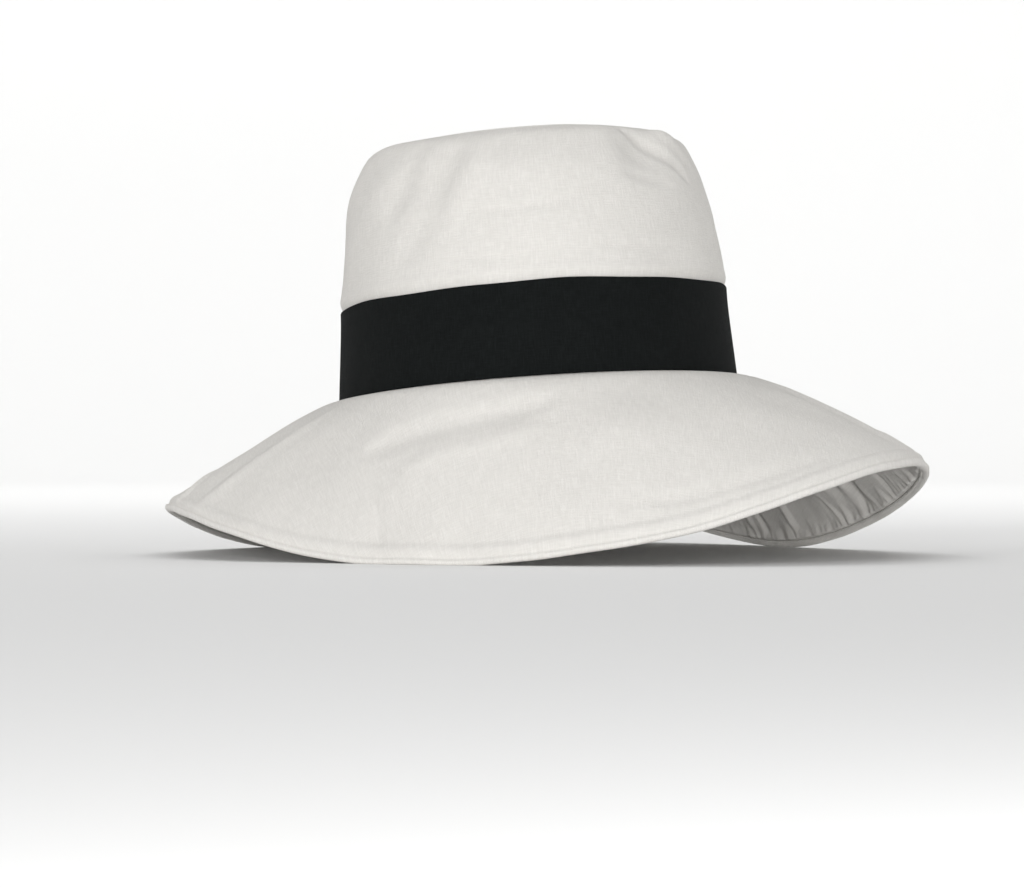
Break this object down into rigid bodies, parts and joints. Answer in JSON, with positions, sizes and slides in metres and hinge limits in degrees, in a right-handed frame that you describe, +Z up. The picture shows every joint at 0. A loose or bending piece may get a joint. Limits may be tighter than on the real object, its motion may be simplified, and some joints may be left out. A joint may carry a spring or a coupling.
{
  "type": "sun hat",
  "caption": "Soft cotton sun hat with a rounded crown, a wide dark ribbon band and a broad drooping brim with a raised front corner.",
  "frame": {"origin": "middle of the hat's outline on the surface that it rests on", "axes": "+Z up from the surface, the front of the hat towards -Y, the side of its raised brim corner towards +X"},
  "size_m": [0.3414, 0.3466, 0.1907],
  "materials": {
    "cotton": "plain woven cotton, matt",
    "black_ribbon": "fine woven ribbon, matt"
  },
  "bodies": {
    "root": {"crown_side": "cotton", "crown_tip": "cotton", "brim_top": "cotton", "brim_facing": "cotton", "hat_band": "black_ribbon", "sweatband": "black_ribbon"}
  },
  "joints": []
}
